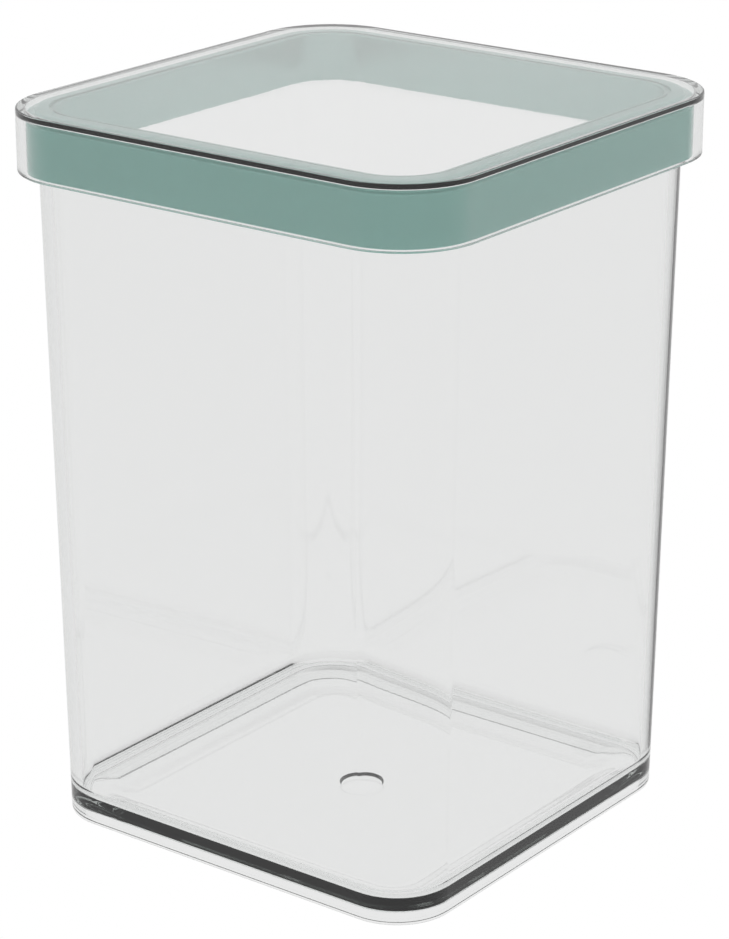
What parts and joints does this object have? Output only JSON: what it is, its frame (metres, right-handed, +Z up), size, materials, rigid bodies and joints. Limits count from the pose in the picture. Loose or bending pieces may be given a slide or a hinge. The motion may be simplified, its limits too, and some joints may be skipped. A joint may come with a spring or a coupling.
{
  "type": "lidded storage canister",
  "caption": "Square clear storage canister with drafted walls and a lift-off clear lid that carries a soft coloured sealing ring.",
  "frame": {"origin": "centre of the foot, on the surface the canister stands on", "axes": "+Z up through the lid; the four flat sides face +X, -X, +Y and -Y"},
  "size_m": [0.1, 0.1, 0.1415],
  "materials": {
    "clear_body": "clear polished",
    "clear_lid": "clear polished",
    "soft_seal": "satin soft-touch"
  },
  "bodies": {
    "container": {"container": "clear_body"},
    "lid": {"lid_cover": "clear_lid", "sealing_ring": "soft_seal"}
  },
  "joints": [
    {"name": "lid_lift", "type": "slide", "parent": "container", "child": "lid", "axis": [0, 0, 1], "range_m": [0, 0.1]}
  ]
}
